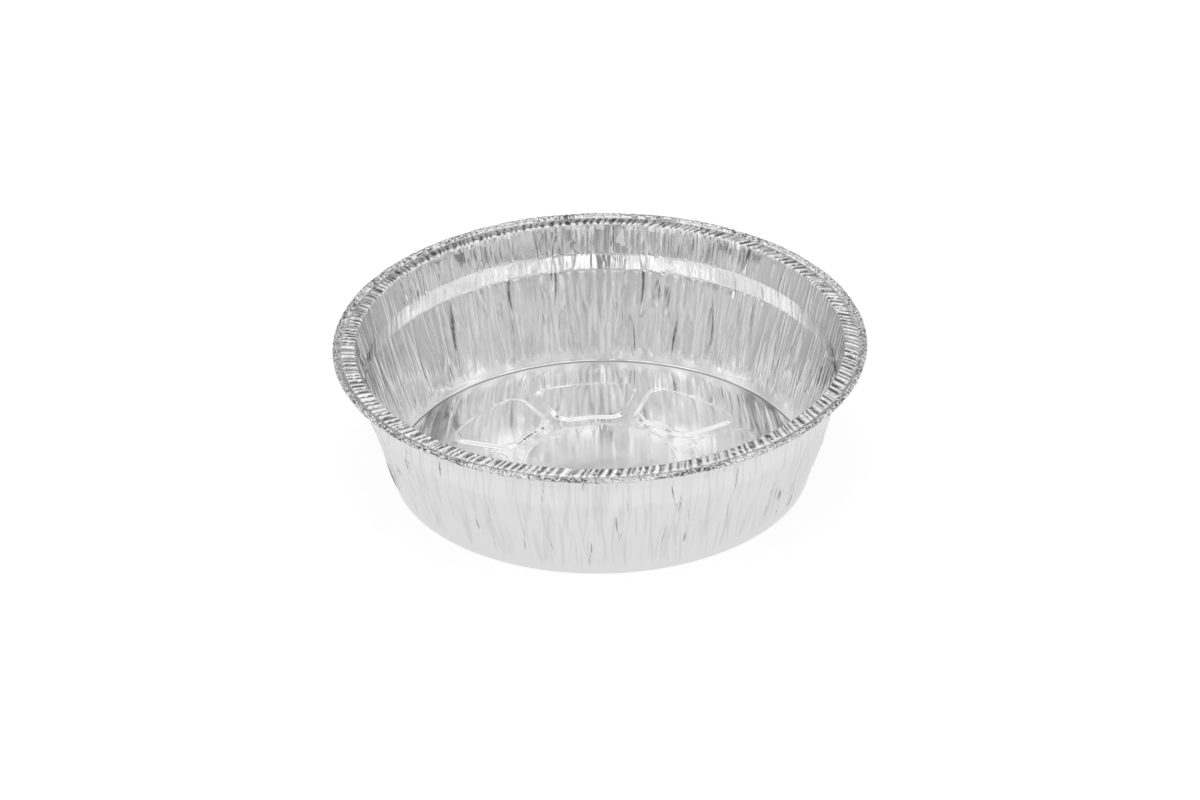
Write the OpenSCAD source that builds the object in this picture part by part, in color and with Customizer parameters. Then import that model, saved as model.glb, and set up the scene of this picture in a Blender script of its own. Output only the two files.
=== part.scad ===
// Round foil pie tin of the deep kind, pressed from one disc of thin aluminium foil.
// The foil gathers into upright pleats on the wall, a smooth ironed band runs round the wall
// under the mouth, and the edge is rolled into a hollow curl.
// The origin is at the middle of the underside, +Z is up and the mouth is on top.

/* [Rim] */
// Outside diameter over the curl
rim_d = 184; // [176:1:220]
// Diameter of the curl, measured over the foil
curl_d = 2.5; // [2:0.1:3.5]
// How far the curl stands above the flange
curl_rise = 0.4; // [0:0.1:0.7]
// Width of the flange between the mouth and the groove
flange_w = 4.4; // [3.5:0.1:6]
// How far the flange slopes down on its way out
flange_drop = 0.4; // [0:0.1:0.6]
// Width of the groove between the flange and the curl
groove_w = 1.1; // [0.8:0.1:2]
// Depth of that groove below the flange
groove_depth = 0.25; // [0:0.05:0.5]
// Radius of the bend from the wall into the flange
lip_r = 0.8; // [0.5:0.1:2.5]
// Depth of the gathers that cross the flange, crest to valley
gather_depth = 0.3; // [0:0.05:0.5]
// Depth of the dents in the curl
dent_depth = 0.14; // [0:0.02:0.2]

/* [Wall] */
// Overall height, from the surface it stands on to the top of the curl
height = 49.5; // [40:0.5:70]
// Diameter at which the line of the wall meets the underside
base_d = 143.4; // [132:0.2:150]
// Radius of the corner between the floor and the wall
corner_r = 1; // [0.5:0.1:3]
// How far the wall leans out between the ironed band and the mouth
mouth_lean = 2.75; // [1.5:0.05:4]
// Distance of the ironed band's upper edge below the flange
band_drop = 10.65; // [8:0.05:14]
// Height of the ironed band
band_h = 6.55; // [4:0.05:9]
// How far the ironed band leans out over its height
band_lean = 0; // [0:0.1:1.5]
// Depth of the pleats, crest to valley
pleat_depth = 1.1; // [0:0.05:1.3]
// Height over which the pleats rise out of the smooth corner
pleat_foot = 5; // [3:0.5:7]
// Height over which the pleats are flattened at each edge of the ironed band
band_edge = 0.8; // [0.5:0.1:1.5]

/* [Floor] */
// Number of raised panels round the floor
panels = 8; // [6:1:10]
// Height of the raised panels and of the disc in the middle
panel_lift = 0.7; // [0.3:0.1:1.5]
// Width of the bevel round each raised panel and round the disc
bevel_w = 2.3; // [1.5:0.1:3]
// Radius of the panels' corners, on top
panel_corner = 4; // [2:0.5:5]
// Outer diameter of the ring of panels, over their bevels
panel_d = 113; // [106:1:118]
// Diameter of the disc in the middle, over its bevel
disc_d = 57; // [44:1:60]
// Width of the flat ring between the disc and the panels
hub_gap = 2.5; // [1.5:0.1:4]
// Width of the flat spoke between two panels, halfway out
spoke_w = 2.4; // [1.5:0.1:5]

/* [Foil] */
// Thickness of the foil
foil = 0.09; // [0.05:0.01:0.2]

/* [Hidden] */

// Columns of points round the tin: a whole number to each panel, about 120 in all
COLUMNS_PER_PANEL = floor(120 / panels);
COLUMNS = panels * COLUMNS_PER_PANEL;
// How far a column may stand from its even place, as a share of the step between columns
COLUMN_DRIFT = 0.45;
// Seeds of the uneven pleats, dents and drift
DRIFT_SEED = 11;
PLEAT_SEED = 23;
DENT_SEED = 37;
// The shallowest pleat, as a share of the deepest
PLEAT_LEAST = 0.3;
// How much the pleats keep of their depth next to the ironed band, and near the mouth
EDGE_PLEAT = 0.6;
MOUTH_PLEAT = 0.5;
// The directions, seen from the curl's middle, in which the foil runs round the curl
CURL_ANGLES = [135, 90, 45, 0, -70, -150];

// Heights of the foil's middle layer
floor_z = foil / 2;
flange_z = height - curl_rise - foil / 2;
band_top_z = flange_z - band_drop;
band_low_z = band_top_z - band_h;
flange_out_z = flange_z - flange_drop;

// Radii of the foil's middle layer
curl_in_r = rim_d / 2 - curl_d;
flange_out_r = curl_in_r - groove_w;
mouth_r = flange_out_r - flange_w;
band_top_r = mouth_r - mouth_lean;
band_low_r = band_top_r - band_lean;
base_r = base_d / 2;
curl_mid = [rim_d / 2 - curl_d / 2, height - curl_d / 2];

// The wall's line, its lean from upright, and the corner's tangent length on floor and wall
wall_run = [band_low_r - base_r, band_low_z - floor_z];
wall_dir = wall_run / norm(wall_run);
corner_turn = atan2(wall_dir[1], wall_dir[0]);
corner_cut = corner_r * tan(corner_turn / 2);
corner_mid = [base_r - corner_cut, floor_z + corner_r];

// The same for the bend at the mouth
lip_turn = atan2(band_drop, mouth_lean);
lip_cut = lip_r * tan(lip_turn / 2);
lip_mid = [mouth_r + lip_cut, flange_z - lip_r];

// Radii of the floor's pressed pattern
disc_r = disc_d / 2;
panel_in_r = disc_r + hub_gap;
panel_out_r = panel_d / 2;
panel_mid_r = (panel_in_r + panel_out_r) / 2;

function arc_point(mid, radius, angle) = mid + radius * [cos(angle), sin(angle)];
function wall_point(z) = [base_r + wall_dir[0] / wall_dir[1] * (z - floor_z), z];
function mouth_point(rise) = [band_top_r + mouth_lean * rise / band_drop, band_top_z + rise];

// One ring of points for each line: its place in the section, then its share of the floor's
// lift, of the pleats, of the flange's gathers and of the curl's dents
SPOT = 0;
LIFT = 1;
PLEAT = 2;
GATHER = 3;
DENT = 4;
rings = concat(
    [
        // The raised disc, with its bevel
        [[disc_r - bevel_w, floor_z], 1, 0, 0, 0],
        [[disc_r, floor_z], 0, 0, 0, 0],
        // The panels: the foot and the top of their inner ends, then of their outer ends
        [[panel_in_r, floor_z], 0, 0, 0, 0],
        [[panel_in_r + bevel_w, floor_z], 1, 0, 0, 0],
        [[panel_out_r - bevel_w, floor_z], 1, 0, 0, 0],
        [[panel_out_r, floor_z], 0, 0, 0, 0]
    ],
    // The corner
    [
        for (share = [0, 0.5, 1])
            [arc_point(corner_mid, corner_r, corner_turn * share - 90), 0, 0, 0, 0]
    ],
    [
        // The pleated wall, the ironed band and the pleats above it
        [wall_point(corner_r + pleat_foot), 0, 1, 0, 0],
        [wall_point(band_low_z - band_edge), 0, EDGE_PLEAT, 0, 0],
        [[band_low_r, band_low_z], 0, 0, 0, 0],
        [[band_top_r, band_top_z], 0, 0, 0, 0],
        [mouth_point(band_edge), 0, EDGE_PLEAT, 0, 0]
    ],
    // The bend at the mouth, where the pleats turn into the flange's gathers
    [
        for (share = [0, 0.5, 1])
            [
                arc_point(lip_mid, lip_r, 90 + lip_turn * (1 - share)), 0,
                share == 0 ? MOUTH_PLEAT : 0, share == 0 ? 0 : 1, 0
            ]
    ],
    [
        // The flange's outer edge and the groove
        [[flange_out_r, flange_out_z], 0, 0, 1, 0],
        [[flange_out_r + groove_w / 2, flange_out_z - groove_depth], 0, 0, 0, 0]
    ],
    // The curl, which keeps its true size on top and outside
    [
        for (angle = CURL_ANGLES)
            [arc_point(curl_mid, (curl_d - foil) / 2, angle), 0, 0, 0, angle % 90 == 0 ? 0 : 1]
    ]
);
RINGS = len(rings);
DISC_RING = 0;
PANEL_RINGS = [2, 3, 4, 5];

// Directions in the section: along the foil, and square to it towards the tin's inside
function along(i) =
    let (step = rings[i + 1][SPOT] - rings[i][SPOT])
    step / norm(step);
function square_to(v) = [-v[1], v[0]];
function side(i) =
    let (before = along(max(i - 1, 0)), after = along(min(i, RINGS - 2)))
    let (middle = square_to(before + after) / norm(before + after))
    middle / (middle * square_to(before));

// Columns of one panel's share of the circle, closest at the panel's two side bevels
panel_share = 360 / panels;
spoke_turn = spoke_w / 2 / panel_mid_r * 180 / PI;
bevel_turn = bevel_w / panel_mid_r * 180 / PI;
top_turn = panel_share - 2 * (spoke_turn + bevel_turn);
TOP_COLUMNS = COLUMNS_PER_PANEL - 2;
function share_turn(k) =
    k == 0 ? spoke_turn :
    k == COLUMNS_PER_PANEL - 1 ? panel_share - spoke_turn :
    spoke_turn + bevel_turn + top_turn * (k - 1) / (TOP_COLUMNS - 1);
function in_share(j) = share_turn(j % COLUMNS_PER_PANEL);
function edge_turn(j) = min(in_share(j), panel_share - in_share(j));
drifts = rands(-0.5, 0.5, COLUMNS, DRIFT_SEED);
function column_turn(i, j) =
    let (even = (floor(j / COLUMNS_PER_PANEL) - 0.5) * panel_share + in_share(j))
    let (drift = rings[i][PLEAT] + rings[i][GATHER] > 0 ? drifts[j] * COLUMN_DRIFT : 0)
    even + drift * 360 / COLUMNS;

// Lift of the floor: the first and the last column of a panel's share run along its foot
function on_foot(j) = let (k = j % COLUMNS_PER_PANEL) k == 0 || k == COLUMNS_PER_PANEL - 1;
function lift(i, j) = i > DISC_RING && on_foot(j) ? 0 : panel_lift * rings[i][LIFT];

// Pull of a panel's end towards its middle, which rounds its corners. A foot's corner is a
// little wider than the corner on top of it.
function corner_pull(radius, inset) =
    inset >= radius ? 0 : radius - sqrt(radius * radius - (radius - inset) * (radius - inset));
function end_pull(i, j) =
    let (is_top = rings[i][LIFT] == 1, is_inner_end = i < PANEL_RINGS[2])
    let (edge = spoke_turn + (is_top ? bevel_turn : 0))
    let (inset = max(edge_turn(j) - edge, 0) * PI / 180 * rings[i][SPOT][0])
    (is_inner_end ? 1 : -1) * corner_pull(panel_corner + (is_top ? 0 : bevel_w / 2), inset);
function pull(i, j) = len(search(i, PANEL_RINGS)) > 0 ? end_pull(i, j) : 0;

// Push of a point square to the foil: pleats and gathers turn in and out by turns, each with
// its own depth, and dents only go in
function uneven(seed, i) = rands(PLEAT_LEAST, 1, COLUMNS, seed + i);
pleat_shares = [for (i = [0 : RINGS - 1]) uneven(PLEAT_SEED, i)];
dent_shares = [for (i = [0 : RINGS - 1]) uneven(DENT_SEED, i)];
function push(i, j) =
    let (turn = j % 2 == 0 ? 0.5 : -0.5)
    let (fold = rings[i][PLEAT] * pleat_depth + rings[i][GATHER] * gather_depth)
    turn * fold * (pleat_shares[i][j] + pleat_shares[0][j]) / 2
        - rings[i][DENT] * dent_depth * dent_shares[i][j];

// A point of the sheet: ring i, column j, on its inner face (face 1) or its outer face (face -1)
function sheet_point(i, j, face) =
    let (spot = rings[i][SPOT] + [pull(i, j), 0] + side(i) * (push(i, j) + face * foil / 2))
    let (turn = column_turn(i, j))
    [spot[0] * cos(turn), spot[0] * sin(turn), spot[1] + lift(i, j)];

// Numbers of the points in the list below, with the two points at the middle of the disc last
function inner(i, j) = i * COLUMNS + j % COLUMNS;
function outer(i, j) = RINGS * COLUMNS + inner(i, j);
INNER_MIDDLE = 2 * RINGS * COLUMNS;
OUTER_MIDDLE = INNER_MIDDLE + 1;

module foil_tin() {
    points = concat(
        [for (face = [1, -1], i = [0 : RINGS - 1], j = [0 : COLUMNS - 1]) sheet_point(i, j, face)],
        [for (face = [1, -1]) [0, 0, floor_z + panel_lift + face * foil / 2]]
    );
    inner_face = [
        for (i = [0 : RINGS - 2], j = [0 : COLUMNS - 1])
            each [
                [inner(i, j), inner(i, j + 1), inner(i + 1, j + 1)],
                [inner(i, j), inner(i + 1, j + 1), inner(i + 1, j)]
            ]
    ];
    outer_face = [
        for (i = [0 : RINGS - 2], j = [0 : COLUMNS - 1])
            each [
                [outer(i, j), outer(i + 1, j + 1), outer(i, j + 1)],
                [outer(i, j), outer(i + 1, j), outer(i + 1, j + 1)]
            ]
    ];
    disc = [
        for (j = [0 : COLUMNS - 1])
            each [
                [INNER_MIDDLE, inner(0, j + 1), inner(0, j)],
                [OUTER_MIDDLE, outer(0, j), outer(0, j + 1)]
            ]
    ];
    last = RINGS - 1;
    cut_edge = [
        for (j = [0 : COLUMNS - 1])
            each [
                [inner(last, j), inner(last, j + 1), outer(last, j + 1)],
                [inner(last, j), outer(last, j + 1), outer(last, j)]
            ]
    ];
    color("silver")
        polyhedron(points = points, faces = concat(inner_face, outer_face, disc, cut_edge));
}

foil_tin();
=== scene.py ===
"""The looks of a round foil pie tin: its wrinkled wall, gathered flange, crumpled curl and pressed floor.

The tin is one sheet of foil. It is modelled as one grid of points, rows along the section and
columns round the tin, which is then cut into four pieces that meet edge to edge: floor, wall,
band and rim. Lengths are in millimetres until the meshes are made.
"""

import math

import bpy
import numpy as np
from mathutils import Matrix, Vector


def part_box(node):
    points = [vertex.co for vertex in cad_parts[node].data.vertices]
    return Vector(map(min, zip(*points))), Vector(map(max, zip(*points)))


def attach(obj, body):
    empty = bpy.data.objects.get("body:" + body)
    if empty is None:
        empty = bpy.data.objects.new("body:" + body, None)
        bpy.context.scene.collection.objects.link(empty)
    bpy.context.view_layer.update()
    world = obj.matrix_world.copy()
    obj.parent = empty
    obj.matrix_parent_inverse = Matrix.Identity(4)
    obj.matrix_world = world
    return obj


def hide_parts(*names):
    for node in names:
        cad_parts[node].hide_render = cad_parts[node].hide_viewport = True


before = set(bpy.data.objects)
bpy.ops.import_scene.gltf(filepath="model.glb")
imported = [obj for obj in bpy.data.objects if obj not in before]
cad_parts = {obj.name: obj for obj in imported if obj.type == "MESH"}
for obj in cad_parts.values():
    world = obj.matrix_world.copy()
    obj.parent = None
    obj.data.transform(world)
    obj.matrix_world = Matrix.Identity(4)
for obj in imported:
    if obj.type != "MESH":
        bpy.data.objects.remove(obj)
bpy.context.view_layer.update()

MM = 0.001
NODE = "foil_tin"
node_low, node_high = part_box(NODE)

# Overall sizes, from the frame
RIM_R = (node_high[0] - node_low[0]) / 2 / MM
TOP_Z = node_high[2] / MM

# Rim
CURL_D = 2.5
CURL_RISE = 0.4
GROOVE_W = 1.1
GROOVE_DEPTH = 0.25
FLANGE_W = 4.4
FLANGE_DROP = 0.4
LIP_R = 0.8
# Where the foil starts and ends round the curl, in degrees from the outward direction
CURL_FROM = 150
CURL_TO = -150

# Wall
BASE_R = 71.7
CORNER_R = 1.0
MOUTH_LEAN = 2.75
BAND_DROP = 10.65
BAND_H = 6.55
BAND_LEAN = 0.0

# Floor
PANELS = 8
PANEL_LIFT = 0.7
BEVEL_W = 2.3
PANEL_CORNER = 4.0
PANEL_OUT_R = 56.5
DISC_R = 28.5
HUB_GAP = 2.5
SPOKE_W = 2.4
# Radius of the innermost ring of points
MIDDLE_R = 1.5

# Foil
FOIL = 0.09

# Columns of points round the wall and the rim; the floor has half as many
COLUMNS = 1700

# Where the four pieces meet: on the smooth foot of the wall, under the ironed band and under the mouth
FOOT_SEAM_Z = 2.4
BAND_SEAM_DROP = 1.0
MOUTH_SEAM_DROP = 1.6

# The camera, fitted to the rim, the mouth and the floor's edge in the photograph
PHOTO_W = 1200
PHOTO_H = 800
RIM_MIDDLE_PX = (599.8, 342.6)
FOCAL_PX = 8000.0
SENSOR_MM = 36.0
CAMERA_ELEVATION = 30.03
CAMERA_DISTANCE_RIMS = 29.82
CAMERA_ROLL = 0.91
CAMERA_TURN = 6.0
CAMERA_CLIP = (0.05, 50)


# Noise


def fade(t):
    """A smooth step from 0 to 1 with flat ends."""
    return t * t * t * (t * (t * 6 - 15) + 10)


def smoothstep(low, high, x):
    """0 below low, 1 above high and smooth between."""
    return fade(np.clip((x - low) / (high - low), 0, 1))


def noise(x, y, around, seed):
    """Gradient noise about -1 to 1, one feature a unit, that closes on itself after `around` units of x."""
    rows = int(np.ceil(np.max(y))) + 2
    turns = np.random.default_rng(seed).uniform(0, 2 * np.pi, (rows, around))
    gx, gy = np.cos(turns), np.sin(turns)
    x0, y0 = np.floor(x).astype(int), np.floor(y).astype(int)
    fx, fy = x - x0, y - y0
    left, right = x0 % around, (x0 + 1) % around

    def corner(row, column, dx, dy):
        return gx[row, column] * dx + gy[row, column] * dy

    low = corner(y0, left, fx, fy) * (1 - fade(fx)) + corner(y0, right, fx - 1, fy) * fade(fx)
    high_left, high_right = corner(y0 + 1, left, fx, fy - 1), corner(y0 + 1, right, fx - 1, fy - 1)
    high = high_left * (1 - fade(fx)) + high_right * fade(fx)
    return (low * (1 - fade(fy)) + high * fade(fy)) * 1.5


def round_noise(turn, run, count, pitch, seed, bend=0):
    """Noise with `count` features round the tin and one each `pitch` millimetres of run."""
    return noise(turn / (2 * np.pi) * count + bend, run / pitch, count, seed)


# The section of the sheet, from the middle of the floor to the edge inside the curl

FLOOR_Z = FOIL / 2
FLANGE_Z = TOP_Z - CURL_RISE - FOIL / 2
BAND_TOP_Z = FLANGE_Z - BAND_DROP
BAND_LOW_Z = BAND_TOP_Z - BAND_H
FLANGE_OUT_R = RIM_R - CURL_D - GROOVE_W
MOUTH_R = FLANGE_OUT_R - FLANGE_W
BAND_TOP_R = MOUTH_R - MOUTH_LEAN
BAND_LOW_R = BAND_TOP_R - BAND_LEAN
WALL_TURN = math.atan2(BAND_LOW_Z - FLOOR_Z, BAND_LOW_R - BASE_R)
CORNER_CUT = CORNER_R * math.tan(WALL_TURN / 2)
MOUTH_TURN = math.atan2(BAND_DROP, MOUTH_LEAN)
LIP_CUT = LIP_R * math.tan(MOUTH_TURN / 2)
MOUTH_SEAM_Z = FLANGE_Z - MOUTH_SEAM_DROP
BAND_SEAM_Z = BAND_LOW_Z - BAND_SEAM_DROP


def wall_r(z):
    """Radius of the lower wall's line at height z."""
    return BASE_R + (z - FLOOR_Z) / math.tan(WALL_TURN)


def mouth_r(z):
    """Radius of the wall's line above the band at height z."""
    return BAND_TOP_R + (z - BAND_TOP_Z) / math.tan(MOUTH_TURN)


def arc(middle, radius, start, end, count):
    """Points along an arc, with angles in radians from the outward direction."""
    return [
        (middle[0] + radius * math.cos(a), middle[1] + radius * math.sin(a))
        for a in np.linspace(start, end, count)
    ]


def floor_section():
    """The flat floor, with rows close together where the pressed pattern rises."""
    panel_in_r = DISC_R + HUB_GAP
    stops = [
        (MIDDLE_R, DISC_R - BEVEL_W, 5),
        (DISC_R - BEVEL_W, DISC_R, 6),
        (panel_in_r, panel_in_r + BEVEL_W, 6),
        (panel_in_r + BEVEL_W, panel_in_r + BEVEL_W + PANEL_CORNER, 4),
        (panel_in_r + BEVEL_W + PANEL_CORNER, PANEL_OUT_R - BEVEL_W - PANEL_CORNER, 6),
        (PANEL_OUT_R - BEVEL_W - PANEL_CORNER, PANEL_OUT_R - BEVEL_W, 4),
        (PANEL_OUT_R - BEVEL_W, PANEL_OUT_R, 6),
        (PANEL_OUT_R, BASE_R - CORNER_CUT, 9),
    ]
    radii = []
    for start, end, count in stops:
        radii += [r for r in np.linspace(start, end, count) if not radii or r > radii[-1] + 0.01]
    return [(r, FLOOR_Z) for r in radii]


def corner_section():
    """The corner's round and the smooth foot of the wall, up to the first seam and without it."""
    middle = (BASE_R - CORNER_CUT, FLOOR_Z + CORNER_R)
    turn = arc(middle, CORNER_R, -math.pi / 2, WALL_TURN - math.pi / 2, 7)[1:]
    foot = [(wall_r(z), z) for z in np.linspace(turn[-1][1], FOOT_SEAM_Z, 4)[1:-1]]
    return turn + foot


def wall_section():
    """The wrinkled wall from its smooth foot up to the seam under the band and without it."""
    return [(wall_r(z), z) for z in np.linspace(FOOT_SEAM_Z, BAND_SEAM_Z, 28)[:-1]]


def band_section():
    """The ironed band with its crisp edges, and the wall above it below the seam under the mouth."""
    edge = 0.3
    below = [(wall_r(z), z) for z in (BAND_SEAM_Z, BAND_LOW_Z - edge)]
    band = [(BAND_LOW_R + BAND_LEAN * t, BAND_LOW_Z + BAND_H * t) for t in np.linspace(0, 1, 9)]
    above = [(mouth_r(z), z) for z in np.linspace(BAND_TOP_Z + edge, MOUTH_SEAM_Z, 15)[:-1]]
    return below + band + above


def rim_section():
    """The bend at the mouth, the flange, the groove and the curl, from the last seam on."""
    lip_middle = (MOUTH_R + LIP_CUT, FLANGE_Z - LIP_R)
    start = (mouth_r(MOUTH_SEAM_Z), MOUTH_SEAM_Z)
    lip = arc(lip_middle, LIP_R, math.pi / 2 + MOUTH_TURN, math.pi / 2, 7)
    flat = FLANGE_OUT_R - lip[-1][0]
    flange = [(lip[-1][0] + flat * t, FLANGE_Z - FLANGE_DROP * t) for t in (0.25, 0.5, 0.75, 1.0)]
    groove = [(FLANGE_OUT_R + GROOVE_W * 0.5, FLANGE_Z - FLANGE_DROP - GROOVE_DEPTH)]
    middle = (RIM_R - CURL_D / 2, TOP_Z - CURL_D / 2)
    curl = arc(middle, (CURL_D - FOIL) / 2, math.radians(CURL_FROM), math.radians(CURL_TO), 16)
    return [start] + lip + flange + groove + curl


# Rows of the rim: where the wall's relief has ended in the bend, the flange's outer edge, the curl's first
LIP_END_ROW = 6
FLANGE_END_ROW = 11
CURL_START_ROW = 13

SECTIONS = {
    "floor": floor_section() + corner_section(),
    "wall": wall_section(),
    "band": band_section(),
    "rim": rim_section(),
}


# Relief: how far the foil stands off its section, towards the tin's inside

# A noise is given by how many features it has round the tin, the length of one along the section in
# millimetres, and its seed. A range is where an effect starts and where it is full, or where it fades.

# Buckles of the flat floor: depth, width, number of columns of the noise and seed
BUCKLES = [(0.02, 18, 64, 3), (0.003, 6, 128, 4)]
BUCKLE_LIFT = 0.02
# The buckles fade out towards the middle within this radius
BUCKLE_FADE_R = 8
# Moves the floor to where the noise is defined
NOISE_SHIFT = 300
# Pinches on the bevels, which fade over these ranges from a bevel's foot and from its top
PINCH_DEPTH = 0.04
PINCH_NOISE = (120, 3, 5)
PINCH_AT_FOOT = (-1.0, 0.6)
PINCH_AT_TOP = (-0.6, 1.5)

# Ridges of the wall: how many, half their length, their width and height, and how far they wander
RIDGES = 950
RIDGE_LONG = (6.0, 15.0)
RIDGE_WIDE = (0.3, 0.52)
RIDGE_HIGH = (0.06, 0.17)
RIDGE_WANDER = 0.9
RIDGE_SEED = 12
# Creases where the foil has doubled over itself
CREASES = 170
CREASE_LONG = (4.0, 12.0)
CREASE_WIDE = (0.3, 0.42)
CREASE_DEEP = (0.25, 0.9)
CREASE_WANDER = 2.5
CREASE_SEED = 21
# Both: their lowest middle above the seam, how far they lean, and the size and length of their bends
LINE_FOOT = 2
LINE_LEAN = 0.06
LINE_SWAY = 0.3
LINE_SWAY_LONG = 6
# A crease's steep and gentle side, and the place and width of the dark line of shade painted in it, as shares
# of its width
STEEP_SIDE = 0.7
GENTLE_SIDE = 2.5
SLIT_PLACE = 0.2
SLIT_WIDE = 0.85

# Broad waves of the wall, and the share of the narrower ones
WAVE_DEPTH = 0.1
WAVE_NOISE = (110, 24, 14)
SMALL_WAVES = 0.4
SMALL_WAVE_NOISE = (300, 12, 15)
# The height over which the relief rises out of the smooth foot, and how uneven that line is
FOOT_RISE = 4
FOOT_UNEVEN = 1.6
FOOT_NOISE = (200, 1, 16)
# What the ironed band takes away of ridges and creases, of waves and of the painted shade of the slits, and
# its soft edge
BAND_LINES_LOSS = 0.75
BAND_WAVES_LOSS = 0.4
BAND_SLITS_LOSS = 0.5
BAND_FADE = 0.4

# How dark the shade painted into the wall's valleys between its ridges is, seen from inside
VALLEY_SHADE = 0.18
VALLEY_RANGE = (-0.1, -0.03)
VALLEY_WAVES = 0.02
# How dark the shade painted into the tight corner at the floor is, seen from inside, and over how many rows
# of its arc
CORNER_SHADE = 0.7
CORNER_SHADE_ROWS = 3
# The dark lines of shade painted along the creases, seen from inside and from outside
SLIT_RANGE_INSIDE = (0.25, 0.7)
SLIT_SHADE_OUTSIDE = 0.9
SLIT_RANGE_OUTSIDE = (0.45, 0.88)
# The ridges and waves are valleys when they are seen from outside, and get painted shade there
RIDGE_SHADE = 0.11
RIDGE_RANGE = (0.02, 0.16)
WAVE_SHADE = 0.05
WAVE_RANGE = (0, 0.8)
# The wall's relief fades out at the mouth, from this height above the seam
MOUTH_FADE = 0.5

# Uneven cells round the rim: their least and greatest width as shares of the pitch
CELL_WIDTHS = (0.4, 1.6)
# Gathers across the flange: pitch, depth, slant, heights, place of the crest and unevenness
GATHER_PITCH = 2.3
GATHER_DEPTH = 0.75
GATHER_SLANT = 0.35
GATHER_HEIGHTS = (0.4, 1.0)
GATHER_CRESTS = (0.2, 0.8)
GATHER_SEED = 31
GATHER_LEVEL = 0.85
GATHER_UNEVEN = 0.5
GATHER_NOISE = (50, 2.5, 32)
# Where the gathers start beyond the seam, and where they end about the flange's edge
GATHER_START = (0.6, 2.0)
GATHER_END = (-0.4, 0.5)
# The dark slits of shade painted between gathers: where they lie, how dark they are and where they break off
GATHER_SLIT_RANGE = (0.35, 0.8)
GATHER_SLIT_SHADES = (0.3, 1.8)
GATHER_SLIT_ENDS = (-0.6, 0.0)
GATHER_SLIT_NOISE = (300, 1.6, 37)

# Bulges of the curl
BULGE_PITCH = 2.2
BULGE_DEPTH = 0.12
BULGE_DEPTHS = (0.3, 1.0)
BULGE_SHARPNESS = 4
BULGE_SEED = 41
BULGE_BEND = 0.4
# The crumpled foil of the curl: broad folds that a slower noise bends, and small dimples
CURL_START = (-0.8, 0.3)
CRUMPLE_DEPTH = 0.55
CRUMPLE_NOISE = (332, 1.1, 34)
BEND_NOISE = (180, 2, 33)
DIMPLE_DEPTH = 0.16
DIMPLE_NOISE = (560, 0.7, 35)
# Some stretches of the curl are crumpled less
ROUGH_LEAST = 0.45
ROUGH_RANGE = (-0.2, 0.3)
ROUGH_NOISE = (26, 9, 36)
# The dark pits of shade painted on the curl: in its folds, and between its bulges
PIT_SHADE = 0.95
PIT_RANGE = (0.3, 0.75)
VALLEY_PIT_RANGE = (0.4, 0.9)
# How crumpled the flange is, next to 1 for the roughest curl
FLANGE_CRUMPLE = 0.2


def floor_relief(r, turn):
    """Raised panels with rounded corners round a raised disc, and faint buckles of the flat foil."""
    share = 2 * np.pi / PANELS
    off_middle = np.abs((turn + share / 2) % share - share / 2)
    panel_in_r = DISC_R + HUB_GAP
    panel_mid_r = (panel_in_r + PANEL_OUT_R) / 2
    spoke_turn = SPOKE_W / 2 / panel_mid_r
    corner = PANEL_CORNER + BEVEL_W
    short_x = corner - np.minimum(r - panel_in_r, PANEL_OUT_R - r)
    short_y = corner - (share / 2 - spoke_turn - off_middle) * r
    outside = np.hypot(np.maximum(short_x, 0), np.maximum(short_y, 0))
    panel_depth = corner - outside - np.minimum(np.maximum(short_x, short_y), 0)
    inside = np.maximum(panel_depth, DISC_R - r)
    lift = PANEL_LIFT * smoothstep(0, BEVEL_W, inside)
    past_top = smoothstep(BEVEL_W + PINCH_AT_TOP[0], BEVEL_W + PINCH_AT_TOP[1], inside)
    on_bevel = smoothstep(*PINCH_AT_FOOT, inside) * (1 - past_top)
    x, y = NOISE_SHIFT + r * np.cos(turn), NOISE_SHIFT + r * np.sin(turn)
    buckle = sum(depth * noise(x / wide, y / wide, count, seed) for depth, wide, count, seed in BUCKLES)
    pinch = PINCH_DEPTH * round_noise(turn, r, *PINCH_NOISE) * on_bevel
    return lift + np.maximum(buckle * smoothstep(0, BUCKLE_FADE_R, r) + BUCKLE_LIFT, 0) + np.abs(pinch)


def lines_relief(z, turn, seed, count, long, wide, high, wander, shape):
    """Separate upright lines, each with its own place, length, width, height, lean and gentle bends."""
    random = np.random.default_rng(seed)
    relief = np.zeros_like(z)
    heights, turns = z[:, 0], turn[0]
    for _ in range(count):
        at, middle = random.uniform(0, 2 * np.pi), random.uniform(FOOT_SEAM_Z + LINE_FOOT, FLANGE_Z)
        half, width, depth = random.uniform(*long), random.uniform(*wide), random.uniform(*high)
        lean, phase = random.normal(0, LINE_LEAN), random.uniform(0, 2 * np.pi)
        hand = random.choice([-1, 1])
        rows = np.flatnonzero(np.abs(heights - middle) < half)
        reach = (5 * width + wander + abs(lean) * half + 2) / BASE_R
        columns = np.flatnonzero(np.abs((turns - at + np.pi) % (2 * np.pi) - np.pi) < reach)
        if not len(rows) or not len(columns):
            continue
        patch = np.ix_(rows, columns)
        up = z[patch] - middle
        shift = lean * up + wander * LINE_SWAY * np.sin(up / LINE_SWAY_LONG + phase)
        off = hand * (((turn[patch] - at + np.pi) % (2 * np.pi) - np.pi) * wall_r(z[patch]) - shift)
        fading = np.clip(1 - (up / half) ** 2, 0, 1)
        relief[patch] += depth * shape(off / width) * fading
    return relief


def ridge_shape(off):
    """A soft ridge, the same on both sides."""
    return np.exp(-(off**2))


def crease_shape(off):
    """A crease laid over: steep on one side and gentle on the other."""
    return -np.where(off < 0, np.exp(-((off / STEEP_SIDE) ** 2)), np.exp(-off / GENTLE_SIDE))


def slit_shape(off):
    """Where shade is painted as a dark line in the steep side of a crease."""
    return np.exp(-(((off + SLIT_PLACE) / SLIT_WIDE) ** 2))


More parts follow.
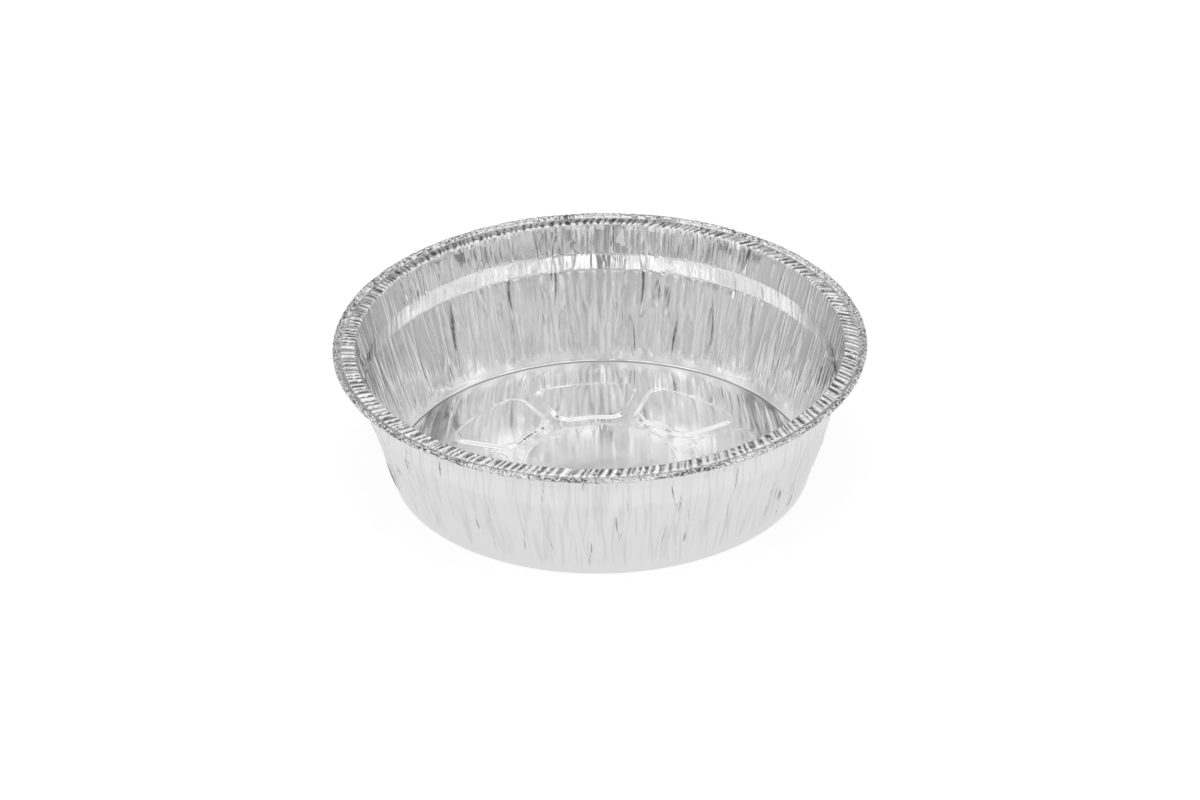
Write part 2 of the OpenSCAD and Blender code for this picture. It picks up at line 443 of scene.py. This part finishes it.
def wall_relief(z, turn):
    """Broad waves, ridges and creases that run up the wall, and the shade painted into them, seen from inside
    and from outside.
    """
    waves = round_noise(turn, z, *WAVE_NOISE) + SMALL_WAVES * round_noise(turn, z, *SMALL_WAVE_NOISE)
    ridge_sizes = (RIDGE_SEED, RIDGES, RIDGE_LONG, RIDGE_WIDE, RIDGE_HIGH, RIDGE_WANDER)
    crease_sizes = (CREASE_SEED, CREASES, CREASE_LONG, CREASE_WIDE, CREASE_DEEP, CREASE_WANDER)
    ridges = lines_relief(z, turn, *ridge_sizes, ridge_shape)
    creases = lines_relief(z, turn, *crease_sizes, crease_shape)
    slits = lines_relief(z, turn, *crease_sizes, slit_shape)
    uneven = z + FOOT_UNEVEN * round_noise(turn, z * 0, *FOOT_NOISE)
    foot = smoothstep(FOOT_SEAM_Z, FOOT_SEAM_Z + FOOT_RISE, uneven)
    above = smoothstep(BAND_TOP_Z, BAND_TOP_Z + BAND_FADE, z)
    on_band = smoothstep(BAND_LOW_Z - BAND_FADE, BAND_LOW_Z, z) * (1 - above)
    keep = foot * (1 - on_band * BAND_LINES_LOSS)
    relief = WAVE_DEPTH * waves * foot * (1 - on_band * BAND_WAVES_LOSS) + (ridges + creases) * keep
    # Painted shade seen from inside: darker valleys between the ridges, and dark lines along the creases
    valleys = VALLEY_SHADE * smoothstep(*VALLEY_RANGE, -ridges - VALLEY_WAVES * waves) * (1 - on_band)
    lines = smoothstep(*SLIT_RANGE_INSIDE, slits) * (1 - on_band * BAND_SLITS_LOSS)
    inside = np.maximum(valleys, lines) * foot
    # Painted shade seen from outside, where the ridges and waves are valleys, and dark lines along the
    # creases
    soft = RIDGE_SHADE * smoothstep(*RIDGE_RANGE, ridges) + WAVE_SHADE * smoothstep(*WAVE_RANGE, waves)
    outside = np.maximum(soft, SLIT_SHADE_OUTSIDE * smoothstep(*SLIT_RANGE_OUTSIDE, slits)) * foot
    return relief, inside, outside


def cells(place, pitch, seed):
    """Uneven cells side by side round the tin: each point's share across its cell, and its cell's number."""
    random = np.random.default_rng(seed)
    length = 2 * np.pi * MOUTH_R
    count = int(length / pitch)
    ends = np.cumsum(random.uniform(*CELL_WIDTHS, count))
    ends *= length / ends[-1]
    starts = np.concatenate([[0], ends[:-1]])
    place = place % length
    cell = np.minimum(np.searchsorted(ends, place, side="right"), count - 1)
    return (place - starts[cell]) / (ends - starts)[cell], cell, random, count


def gathers(place):
    """Ridges of the flange, -0.5 to 0.5, each with its own width, height and crest, and the shade painted as
    dark slits between them.
    """
    share, cell, random, count = cells(place, GATHER_PITCH, GATHER_SEED)
    height = random.uniform(*GATHER_HEIGHTS, count)[cell]
    crest = random.uniform(*GATHER_CRESTS, count)[cell]
    tooth = np.where(share < crest, share / crest, (1 - share) / (1 - crest))
    slit = smoothstep(*GATHER_SLIT_RANGE, 1 - tooth) * random.uniform(*GATHER_SLIT_SHADES, count)[cell]
    return (tooth - 0.5) * height, np.clip(slit, 0, 1)


def bulges(place):
    """Rounded bulges of the curl, 0 to -1, with a sharp valley between neighbours."""
    share, cell, random, count = cells(place, BULGE_PITCH, BULGE_SEED)
    depth = random.uniform(*BULGE_DEPTHS, count)
    edge = np.abs(2 * share - 1)
    near = np.where(share < 0.5, depth[cell], depth[(cell + 1) % count])
    return -near * edge**BULGE_SHARPNESS


def rim_relief(distance, turn, flange_end, curl_start):
    """Gathers across the flange and a dented curl, the shade painted into their slits and pits, and how
    crumpled each point is.

    distance runs along the section from the seam.
    """
    place = turn * MOUTH_R
    patches = GATHER_LEVEL + GATHER_UNEVEN * round_noise(turn, distance, *GATHER_NOISE)
    past_flange = smoothstep(flange_end + GATHER_END[0], flange_end + GATHER_END[1], distance)
    on_flange = smoothstep(*GATHER_START, distance) * (1 - past_flange)
    on_curl = smoothstep(curl_start + CURL_START[0], curl_start + CURL_START[1], distance)
    bend = round_noise(turn, distance, *BEND_NOISE)
    crumple = 0.5 - np.abs(round_noise(turn, distance, *CRUMPLE_NOISE, bend=bend)) * 2
    dimples = round_noise(turn, distance, *DIMPLE_NOISE)
    stretches = smoothstep(*ROUGH_RANGE, round_noise(turn, distance, *ROUGH_NOISE))
    rough = ROUGH_LEAST + (1 - ROUGH_LEAST) * stretches
    dents = (CRUMPLE_DEPTH * (crumple - 0.5) + DIMPLE_DEPTH * (dimples - 1)) * rough
    valleys = -bulges(place + BULGE_BEND * bend)
    dents -= BULGE_DEPTH * valleys
    teeth, slits = gathers(place + GATHER_SLANT * distance)
    # The gathers' slits of painted shade break off here and there
    ends = smoothstep(*GATHER_SLIT_ENDS, round_noise(turn, distance, *GATHER_SLIT_NOISE))
    # Painted shade: dark pits in the curl's crumples and between its bulges, and the flange's dark slits
    pits = np.maximum(smoothstep(*PIT_RANGE, 0.5 - crumple) * rough, smoothstep(*VALLEY_PIT_RANGE, valleys))
    fold = slits * ends * on_flange + PIT_SHADE * pits * on_curl
    relief = GATHER_DEPTH * teeth * patches * on_flange + dents * on_curl
    return relief, fold, FLANGE_CRUMPLE + (1 - FLANGE_CRUMPLE) * on_curl * rough


# The sheet: rows of points along the section, columns round the tin


def section_normals(points):
    """Directions square to the section, towards the tin's inside."""
    tangent = np.gradient(points, axis=0)
    tangent /= np.linalg.norm(tangent, axis=1)[:, None]
    return np.stack([-tangent[:, 1], tangent[:, 0]], axis=1)


def sheet(columns):
    """Rows of points of the whole sheet: middle layer, normals, painted shade inside and outside, and
    crumpling.
    """
    points = np.array([p for part in SECTIONS.values() for p in part])
    counts = [len(part) for part in SECTIONS.values()]
    starts = np.cumsum([0] + counts)
    normals = section_normals(points)
    turn = np.arange(columns) * 2 * np.pi / columns
    r, a = np.meshgrid(points[:, 0], turn, indexing="ij")
    z, _ = np.meshgrid(points[:, 1], turn, indexing="ij")
    step = np.linalg.norm(np.diff(points, axis=0), axis=1)
    run = np.concatenate([[0], np.cumsum(step)])
    distance, _ = np.meshgrid(np.maximum(run - run[starts[3]], 0), turn, indexing="ij")
    relief, inside, outside = np.zeros_like(r), np.zeros_like(r), np.zeros_like(r)
    crumpled = np.ones_like(r)
    flat = slice(0, len(floor_section()))
    relief[flat] = floor_relief(r[flat], a[flat])
    # Painted shade in the tight corner at the floor, seen from inside
    inside[flat.stop : flat.stop + CORNER_SHADE_ROWS] = CORNER_SHADE
    upright = slice(starts[1], starts[3] + LIP_END_ROW)
    near_lip = 1 - smoothstep(MOUTH_SEAM_Z + MOUTH_FADE, FLANGE_Z, z[upright])
    relief[upright], inside[upright], outside[upright] = wall_relief(z[upright], a[upright])
    for values in (relief, inside, outside):
        values[upright] *= near_lip
    rim = slice(starts[3], None)
    flange_end = distance[starts[3] + FLANGE_END_ROW, 0]
    curl_start = distance[starts[3] + CURL_START_ROW, 0]
    rim_rise, rim_fold, crumpled[rim] = rim_relief(distance[rim], a[rim], flange_end, curl_start)
    relief[rim] += rim_rise
    # The rim's painted shade is added to the inside's, at most 1
    inside[rim] = np.clip(inside[rim] + rim_fold, 0, 1)
    nr, nz = normals[:, 0][:, None], normals[:, 1][:, None]
    r, z = r + nr * relief, z + nz * relief
    middle = np.stack([r * np.cos(a), r * np.sin(a), z], axis=-1)
    across = np.roll(middle, -1, axis=1) - np.roll(middle, 1, axis=1)
    up = np.gradient(middle, axis=0)
    normal = np.cross(across, up)
    normal = -normal / np.linalg.norm(normal, axis=-1)[..., None]
    return middle, normal, inside, outside, crumpled, starts


def quads(first, second, columns, flip):
    """Faces between two rings of points, given by the number of each ring's first point."""
    j = np.arange(columns)
    k = (j + 1) % columns
    faces = np.stack([first + j, second + j, second + k, first + k], axis=1)
    return faces[:, ::-1] if flip else faces


def doubling(first, second, columns, flip):
    """Faces from a ring of `columns` points to one of twice as many."""
    j = np.arange(columns)
    k = (j + 1) % columns
    far, mid, near = second + 2 * j, second + 2 * j + 1, second + 2 * k
    faces = np.concatenate(
        [
            np.stack([first + j, far, mid], axis=1),
            np.stack([first + j, mid, first + k], axis=1),
            np.stack([first + k, mid, near], axis=1),
        ]
    )
    return faces[:, ::-1] if flip else faces


def make_piece(name, rings, centre=None):
    """A closed shell of foil. Each ring, outwards, is one row of each array that sheet gives."""
    points, shades, folds, dents, faces = [], [], [], [], []
    starts = {}
    total = 0
    for side in (1, -1):
        starts[side] = []
        for middle, normal, inside, outside, crumpled in rings:
            starts[side].append(total)
            points.append(middle + normal * (side * FOIL / 2))
            shades.append(normal * side)
            # The inner skin gets the shade painted for inside, the outer skin the shade painted for outside
            folds.append(inside if side > 0 else outside)
            dents.append(crumpled)
            total += len(middle)
        for n in range(len(rings) - 1):
            first, second = starts[side][n], starts[side][n + 1]
            columns = len(rings[n][0])
            join = quads if len(rings[n + 1][0]) == columns else doubling
            faces += join(first, second, columns, side < 0).tolist()
    ends = [(-1, False)] if centre is not None else [(0, True), (-1, False)]
    for n, flip in ends:
        faces += quads(starts[1][n], starts[-1][n], len(rings[n][0]), flip).tolist()
    if centre is not None:
        columns = len(rings[0][0])
        for side in (1, -1):
            points.append(np.array([[0, 0, centre + side * FOIL / 2]]))
            shades.append(np.array([[0, 0, side]]))
            folds.append(np.zeros(1))
            dents.append(np.ones(1))
            fan = [(total, starts[side][0] + j, starts[side][0] + (j + 1) % columns) for j in range(columns)]
            faces += [f[::-1] for f in fan] if side < 0 else fan
            total += 1
    mesh = bpy.data.meshes.new(name)
    mesh.from_pydata((np.concatenate(points) * MM).tolist(), [], faces)
    mesh.polygons.foreach_set("use_smooth", [True] * len(mesh.polygons))
    mesh.update()
    mesh.normals_split_custom_set_from_vertices(np.concatenate(shades).tolist())
    # Painted shade and crumpling go to the mesh as point attributes
    for attribute, values in (("fold", folds), ("crumple", dents)):
        mesh.attributes.new(attribute, "FLOAT", "POINT").data.foreach_set("value", np.concatenate(values))
    piece = bpy.data.objects.new(name, mesh)
    bpy.context.scene.collection.objects.link(piece)
    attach(piece, "root")
    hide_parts(NODE)
    return piece


def make_tin():
    """The four pieces of the tin, by part."""
    *layers, starts = sheet(COLUMNS)
    rings = list(zip(*layers))
    coarse = [tuple(part[::2] for part in ring) for ring in rings[: starts[1]]]
    return {
        "floor": make_piece("tin_floor", coarse + [rings[starts[1]]], centre=FLOOR_Z + PANEL_LIFT),
        "wall": make_piece("tin_wall", rings[starts[1] : starts[2] + 1]),
        "band": make_piece("tin_band", rings[starts[2] : starts[3] + 1]),
        "rim": make_piece("tin_rim", rings[starts[3] :]),
    }


# Materials


class Nodes:
    """Adds shader nodes by kind and sets their sockets by name."""

    def __init__(self, tree):
        self.tree = tree
        tree.nodes.clear()

    def add(self, kind, sockets=None, **settings):
        node = self.tree.nodes.new(kind)
        for key, value in settings.items():
            setattr(node, key, value)
        for key, value in (sockets or {}).items():
            if isinstance(value, bpy.types.NodeSocket):
                self.tree.links.new(value, node.inputs[key])
            else:
                node.inputs[key].default_value = value
        return node


# The foil's colour varies between these two; the third is the colour of shade painted into tight folds,
# corners and pits
PALE_FOIL = (0.94, 0.94, 0.942, 1)
GREY_FOIL = (0.9, 0.9, 0.903, 1)
PAINTED_SHADE_COLOUR = (0.12, 0.12, 0.12, 1)
# Features a metre of the rolling lines, which are long along X, and of the dimples and blotches
ROLLING_SCALE = (60.0, 2600.0, 60.0)
DIMPLE_SCALE = 1100.0
BLOTCH_SCALE = 140.0
NOISE_DETAIL = 3.0
# Where the blotches change the shine, and from what to what share of the roughness
BLOTCH_RANGE = (0.35, 0.65)
SHINE_SHARES = (0.75, 1.3)
# Dimples deeper than this get shade painted into them as dark pits
DIMPLE_SHADE_RANGE = (0.36, 0.46)
# Strength of the bumps of both the rolling lines and the dimples
BUMP_STRENGTH = 0.5

# Each part's roughness, the depths in metres of its rolling lines and dimples, how dark the shade painted
# into its deep dimples is, and how much further it spreads reflections across the rolling lines than along
# them
FINISHES = {
    "floor": (0.09, 0.00001, 0.00001, 0.0, 0.9),
    "wall": (0.06, 0.000002, 0.00002, 0.0, 0.0),
    "band": (0.04, 0.000002, 0.00002, 0.0, 0.0),
    "rim": (0.06, 0.000002, 0.00025, 0.6, 0.0),
}


def foil_material(name, roughness, grain, crumple, dimple_shade, rolled):
    """Bright aluminium foil with an uneven shine and painted shade in its creases, corners and pits, after
    one row of FINISHES.
    """
    material = bpy.data.materials.new(name)
    material.use_nodes = True
    nodes = Nodes(material.node_tree)
    place = nodes.add("ShaderNodeTexCoord").outputs["Object"]
    mapping = nodes.add("ShaderNodeMapping", {"Vector": place, "Scale": ROLLING_SCALE})
    rolling = nodes.add(
        "ShaderNodeTexNoise", {"Vector": mapping.outputs["Vector"], "Scale": 1.0, "Detail": NOISE_DETAIL}
    )
    dimples = nodes.add(
        "ShaderNodeTexNoise", {"Vector": place, "Scale": DIMPLE_SCALE, "Detail": NOISE_DETAIL}
    )
    blotches = nodes.add(
        "ShaderNodeTexNoise", {"Vector": place, "Scale": BLOTCH_SCALE, "Detail": NOISE_DETAIL}
    )
    shine = nodes.add(
        "ShaderNodeMapRange",
        {"Value": blotches.outputs["Fac"], "From Min": BLOTCH_RANGE[0], "From Max": BLOTCH_RANGE[1],
         "To Min": roughness * SHINE_SHARES[0], "To Max": roughness * SHINE_SHARES[1]},
    )
    tone = nodes.add(
        "ShaderNodeMix", {"Factor": blotches.outputs["Fac"], "A": GREY_FOIL, "B": PALE_FOIL}, data_type="RGBA"
    )
    fold = nodes.add("ShaderNodeAttribute", attribute_name="fold")
    crumpled = nodes.add("ShaderNodeAttribute", attribute_name="crumple")
    height = nodes.add(
        "ShaderNodeMath", {0: dimples.outputs["Fac"], 1: crumpled.outputs["Fac"]}, operation="MULTIPLY"
    )
    pits = nodes.add(
        "ShaderNodeMapRange",
        {"Value": dimples.outputs["Fac"], "From Min": DIMPLE_SHADE_RANGE[0], "From Max": DIMPLE_SHADE_RANGE[1],
         "To Min": dimple_shade, "To Max": 0.0},
    )
    # Painted shade: pits of deep dimples, scaled by the crumpling, plus the mesh's painted shade, darken the
    # colour
    dark = nodes.add(
        "ShaderNodeMath",
        {0: pits.outputs[0], 1: crumpled.outputs["Fac"], 2: fold.outputs["Fac"]},
        operation="MULTIPLY_ADD",
        use_clamp=True,
    )
    shaded = nodes.add(
        "ShaderNodeMix",
        {"Factor": dark.outputs[0], "A": tone.outputs["Result"], "B": PAINTED_SHADE_COLOUR},
        data_type="RGBA",
    )
    dents = nodes.add(
        "ShaderNodeBump", {"Height": height.outputs[0], "Strength": BUMP_STRENGTH, "Distance": crumple}
    )
    lines = nodes.add(
        "ShaderNodeBump",
        {"Height": rolling.outputs["Fac"], "Strength": BUMP_STRENGTH, "Distance": grain,
         "Normal": dents.outputs["Normal"]},
    )
    sockets = {
        "Base Color": shaded.outputs["Result"],
        "Metallic": 1.0,
        "Roughness": shine.outputs["Result"],
        "Normal": lines.outputs["Normal"],
    }
    if rolled:
        across = nodes.add("ShaderNodeCombineXYZ", {"X": 0.0, "Y": 1.0, "Z": 0.0})
        sockets.update({"Anisotropic": rolled, "Tangent": across.outputs[0]})
    shader = nodes.add("ShaderNodeBsdfPrincipled", sockets)
    nodes.add("ShaderNodeOutputMaterial", {"Surface": shader.outputs["BSDF"]})
    return material


# Stage, lamps and camera

# The studio floor's size and how far it lies under the tin, in metres, and its paint
STUDIO_SIZE = 8
STUDIO_DROP = 0.00002
STUDIO_PAINT = (0.4, 0.4, 0.4, 1)
# How far it glows, for the camera and as the metal reflects it
FLOOR_GLOW = 0.72
FLOOR_GLOW_IN_METAL = 0.5


def make_floor():
    """A plain pale floor that looks white, and keeps the tin's soft shadow."""
    bpy.ops.mesh.primitive_plane_add(size=STUDIO_SIZE, location=(0, 0, -STUDIO_DROP))
    plane = bpy.context.object
    plane.name = "studio_floor"
    material = bpy.data.materials.new("studio_floor")
    material.use_nodes = True
    nodes = Nodes(material.node_tree)
    paths = nodes.add("ShaderNodeLightPath").outputs
    in_metal = nodes.add(
        "ShaderNodeMath", {0: paths["Is Glossy Ray"], 1: FLOOR_GLOW_IN_METAL}, operation="MULTIPLY"
    )
    strength = nodes.add(
        "ShaderNodeMath",
        {0: paths["Is Camera Ray"], 1: FLOOR_GLOW, 2: in_metal.outputs[0]},
        operation="MULTIPLY_ADD",
    )
    glow = nodes.add("ShaderNodeEmission", {"Color": (1, 1, 1, 1), "Strength": strength.outputs[0]})
    paint = nodes.add("ShaderNodeBsdfDiffuse", {"Color": STUDIO_PAINT})
    both = nodes.add("ShaderNodeAddShader", {0: paint.outputs[0], 1: glow.outputs[0]})
    nodes.add("ShaderNodeOutputMaterial", {"Surface": both.outputs[0]})
    plane.data.materials.append(material)


# The room as the metal reflects it: its plain level, how soft its patches' edges are in degrees, and
# the patches. Each patch: direction (degrees from straight behind, clockwise from above), height in
# degrees, half its width and half its height in degrees, change of brightness
ROOM = 0.76
PATCH_SOFTNESS = 3
PATCHES = [
    # Low behind, and at both sides
    (6, 10, 60, 14, -0.3),
    (-105, 8, 45, 10, 0.2),
    (105, 8, 45, 10, 0.2),
    # A bright strip at the camera's height, with dark bars in it
    (186, 30, 54, 4, 0.5),
    (146, 30, 1.5, 6, -0.6),
    (171, 30, 2, 6, -0.7),
    (163, 30, 1.5, 6, -0.6),
    (154, 30, 3, 6, -0.6),
    (187.5, 30, 3.5, 8, -0.95),
    (198.5, 30, 3, 8, -0.95),
    (206, 30, 1.5, 6, -0.6),
    (218, 30, 3, 6, -0.6),
    # Bright places above that strip, with dark bars in them
    (135, 49, 17, 8, 0.75),
    (163, 38, 6, 5, 0.6),
    (-151, 38, 6, 5, 0.6),
    (142, 50, 1.5, 9, -0.9),
    (133, 50, 1.5, 9, -0.9),
    (-126, 49, 17, 8, 0.75),
    (-131, 50, 1.5, 9, -0.6),
    (180, 49, 15, 4, 0.5),
    # Bright and grey patches all round
    (133, 23, 5, 6, 0.25),
    (100, 27, 5, 11, 0.4),
    (69, 30, 6, 12, 0.4),
    (38, 39, 8, 6, 0.35),
    (-26, 39, 8, 6, 0.35),
    (-55, 30, 6, 12, 0.4),
    (-88, 27, 5, 11, 0.4),
    (-121, 23, 5, 6, 0.25),
    (155, 19, 4, 5, 0.2),
    (-145, 19, 4, 5, 0.2),
    (52, 34, 3, 8, -0.2),
    (-40, 34, 3, 8, -0.2),
    # Grey behind and at both sides
    (6, 26, 32, 6, -0.35),
    (85, 32, 3, 8, -0.2),
    (-72, 32, 3, 8, -0.2),
    # Grey higher up, at both sides and in front
    (60, 46, 18, 6, -0.48),
    (-50, 46, 18, 6, -0.48),
    (186, 66, 8, 4, -0.4),
    # Bright overhead
    (6, 74, 65, 24, 0.15),
    (-24, 68, 8, 8, 0.4),
    (30, 68, 8, 8, 0.3),
]
# Upright stripes round the room: height and half its height in degrees, lift, depth and number of stripes,
# and how many times and how far they sway
STRIPES = (54, 13, 0.05, 0.16, 22)
STRIPE_SWAYS = 5.0
STRIPE_SWAY = 2.0


def soft_window(nodes, distance, half):
    """1 where the distance is well under half, 0 beyond it, smooth between; all in degrees."""
    edge = nodes.add(
        "ShaderNodeMapRange",
        {"Value": distance, "From Min": half - PATCH_SOFTNESS / 2, "From Max": half + PATCH_SOFTNESS / 2,
         "To Min": 1.0, "To Max": 0.0},
        interpolation_type="SMOOTHSTEP",
    )
    return edge.outputs[0]


def room_light(nodes):
    """Brightness of the room by direction: its plain level, its patches and its stripes."""

    def maths(operation, *values, **settings):
        sockets = dict(enumerate(values))
        return nodes.add("ShaderNodeMath", sockets, operation=operation, **settings).outputs[0]

    way = nodes.add("ShaderNodeTexCoord").outputs["Generated"]
    parts = nodes.add("ShaderNodeSeparateXYZ", {"Vector": way}).outputs
    azimuth = maths("DEGREES", maths("ARCTAN2", parts["X"], parts["Y"]))
    height = maths("DEGREES", maths("ARCSINE", parts["Z"]))
    level = ROOM
    for turn, rise, half_width, half_height, change in PATCHES:
        beside = maths("ABSOLUTE", maths("WRAP", maths("SUBTRACT", azimuth, float(turn)), 180.0, -180.0))
        above = maths("ABSOLUTE", maths("SUBTRACT", height, float(rise)))
        across, along = soft_window(nodes, beside, half_width), soft_window(nodes, above, half_height)
        level = maths("MULTIPLY_ADD", maths("MULTIPLY", across, along), change, level)
    rise, half_height, lift, depth, count = STRIPES
    turn = maths("ARCTAN2", parts["X"], parts["Y"])
    sway = maths("MULTIPLY", maths("SINE", maths("MULTIPLY", turn, STRIPE_SWAYS)), STRIPE_SWAY)
    stripe = maths("SINE", maths("MULTIPLY_ADD", turn, float(count), sway))
    above = maths("ABSOLUTE", maths("SUBTRACT", height, float(rise)))
    belt = soft_window(nodes, above, half_height)
    return maths("MULTIPLY_ADD", belt, maths("MULTIPLY_ADD", stripe, depth, lift), level)


def make_world():
    """A pale room, uneven as the metal shows it; what the camera sees of it directly is white."""
    world = bpy.data.worlds.new("studio")
    bpy.context.scene.world = world
    world.use_nodes = True
    nodes = Nodes(world.node_tree)
    paths = nodes.add("ShaderNodeLightPath").outputs
    room = nodes.add("ShaderNodeBackground", {"Color": (1, 1, 1, 1), "Strength": room_light(nodes)})
    white = nodes.add("ShaderNodeBackground", {"Color": (1, 1, 1, 1), "Strength": 1.0})
    mixed = nodes.add(
        "ShaderNodeMixShader", {0: paths["Is Camera Ray"], 1: room.outputs[0], 2: white.outputs[0]}
    )
    nodes.add("ShaderNodeOutputWorld", {"Surface": mixed.outputs[0]})


# Soft boxes: name, direction (degrees from straight behind, clockwise from above), height in degrees,
# width and depth in metres, brightness
LAMP_DISTANCE = 2.0
LAMPS = [
    ("lamp_above", 0, 84, 1.4, 1.0, 0.12),
]


def make_lamp(name, azimuth, elevation, width, depth, brightness):
    """A soft box that faces the tin, hidden from the camera and from the metal."""
    turn, rise = math.radians(azimuth), math.radians(elevation)
    way = Vector((math.sin(turn) * math.cos(rise), math.cos(turn) * math.cos(rise), math.sin(rise)))
    light = bpy.data.lights.new(name, "AREA")
    light.shape = "RECTANGLE"
    light.size, light.size_y = width, depth
    light.energy = brightness * math.pi * width * depth
    lamp = bpy.data.objects.new(name, light)
    lamp.location = way * LAMP_DISTANCE
    lamp.rotation_euler = (-way).to_track_quat("-Z", "Y").to_euler()
    lamp.visible_camera = False
    lamp.visible_glossy = False
    bpy.context.scene.collection.objects.link(lamp)


def make_camera():
    """The photograph's camera: its place, lens, roll and framing."""
    target = Vector((0, 0, FLANGE_Z * MM))
    distance = CAMERA_DISTANCE_RIMS * RIM_R * MM
    rise, turn, roll = map(math.radians, (CAMERA_ELEVATION, CAMERA_TURN, CAMERA_ROLL))
    ahead = Vector((math.sin(turn) * math.cos(rise), math.cos(turn) * math.cos(rise), -math.sin(rise)))
    place = target - ahead * distance
    level = ahead.cross(Vector((0, 0, 1))).normalized()
    up = level.cross(ahead)
    right = level * math.cos(roll) - up * math.sin(roll)
    up = level * math.sin(roll) + up * math.cos(roll)
    off_x = RIM_MIDDLE_PX[0] - PHOTO_W / 2
    off_y = PHOTO_H / 2 - RIM_MIDDLE_PX[1]
    aim = target - (right * off_x + up * off_y) * distance / FOCAL_PX
    back = (place - aim).normalized()
    right = (right - back * right.dot(back)).normalized()
    up = back.cross(right)
    data = bpy.data.cameras.new("camera")
    data.sensor_width = SENSOR_MM
    data.lens = FOCAL_PX / PHOTO_W * SENSOR_MM
    data.clip_start, data.clip_end = CAMERA_CLIP
    camera = bpy.data.objects.new("camera", data)
    camera.matrix_world = Matrix.Translation(place) @ Matrix((right, up, back)).transposed().to_4x4()
    bpy.context.scene.collection.objects.link(camera)
    bpy.context.scene.camera = camera


bpy.context.scene.view_settings.view_transform = "Standard"
make_camera()
for part, piece in make_tin().items():
    piece.data.materials.append(foil_material("foil_" + part, *FINISHES[part]))
make_floor()
make_world()
for lamp in LAMPS:
    make_lamp(*lamp)
